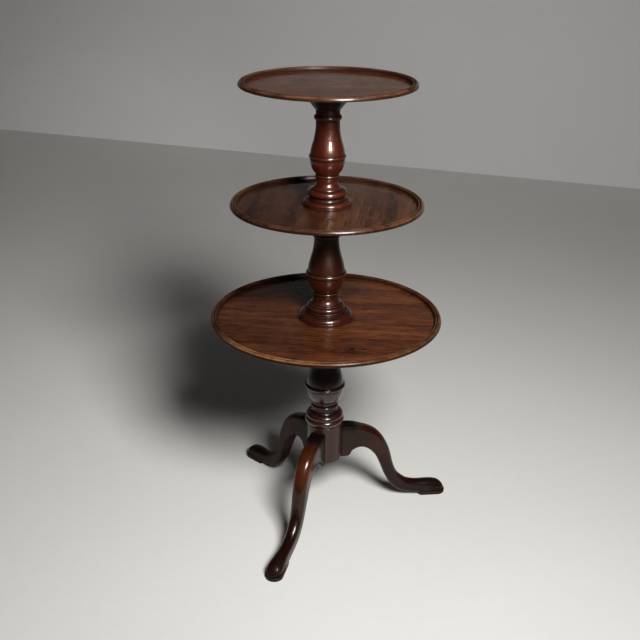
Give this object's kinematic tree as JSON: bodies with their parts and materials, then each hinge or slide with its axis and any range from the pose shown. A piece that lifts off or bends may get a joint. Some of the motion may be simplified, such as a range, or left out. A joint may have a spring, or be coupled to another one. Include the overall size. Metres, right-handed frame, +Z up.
{
  "type": "dumbwaiter table",
  "caption": "Tiered dumbwaiter table in dark turned wood: dished round trays that revolve on a baluster pillar, over cabriole legs with flat shoes.",
  "frame": {"origin": "on the floor, at the middle of the whole table's box; the pillar's axis stands 29 mm behind it", "axes": "+Z up along the pillar; the front leg points along -Y, a few degrees to the left; +X to the right"},
  "size_m": [0.5705, 0.6085, 1.1],
  "materials": {
    "pillar_wood": "gloss",
    "tray_wood": "satin",
    "leg_wood": "satin",
    "shoe_wood": "worn",
    "iron": "forged",
    "screw_metal": "aged"
  },
  "bodies": {
    "base": {"lower_pillar": "pillar_wood", "middle_pillar": "pillar_wood", "upper_pillar": "pillar_wood", "leg_1": "leg_wood", "leg_2": "leg_wood", "leg_3": "leg_wood", "foot_shoe_1": "shoe_wood", "foot_shoe_2": "shoe_wood", "foot_shoe_3": "shoe_wood", "leg_iron": "iron", "leg_iron_nail_1": "iron", "leg_iron_nail_2": "iron", "leg_iron_nail_3": "iron", "leg_iron_nail_4": "iron", "leg_iron_nail_5": "iron", "leg_iron_nail_6": "iron", "leg_iron_nail_7": "iron"},
    "bottom_tier": {"bottom_tray": "tray_wood", "bottom_tray_hub": "pillar_wood", "bottom_hub_screw_1": "screw_metal", "bottom_hub_screw_2": "screw_metal", "bottom_hub_screw_3": "screw_metal", "bottom_hub_screw_4": "screw_metal"},
    "middle_tier": {"middle_tray": "tray_wood", "middle_tray_hub": "pillar_wood", "middle_hub_screw_1": "screw_metal", "middle_hub_screw_2": "screw_metal", "middle_hub_screw_3": "screw_metal", "middle_hub_screw_4": "screw_metal"},
    "top_tier": {"top_tray": "tray_wood", "top_tray_hub": "pillar_wood", "top_hub_screw_1": "screw_metal", "top_hub_screw_2": "screw_metal", "top_hub_screw_3": "screw_metal", "top_hub_screw_4": "screw_metal"}
  },
  "joints": [
    {"name": "bottom_tray_turn", "type": "hinge", "parent": "base", "child": "bottom_tier", "pos_m": [0, 0.029, 0.532], "axis": [0, 0, 1], "continuous": true},
    {"name": "middle_tray_turn", "type": "hinge", "parent": "base", "child": "middle_tier", "pos_m": [0, 0.029, 0.8109], "axis": [0, 0, 1], "continuous": true},
    {"name": "top_tray_turn", "type": "hinge", "parent": "base", "child": "top_tier", "pos_m": [0, 0.029, 1.081], "axis": [0, 0, 1], "continuous": true}
  ]
}
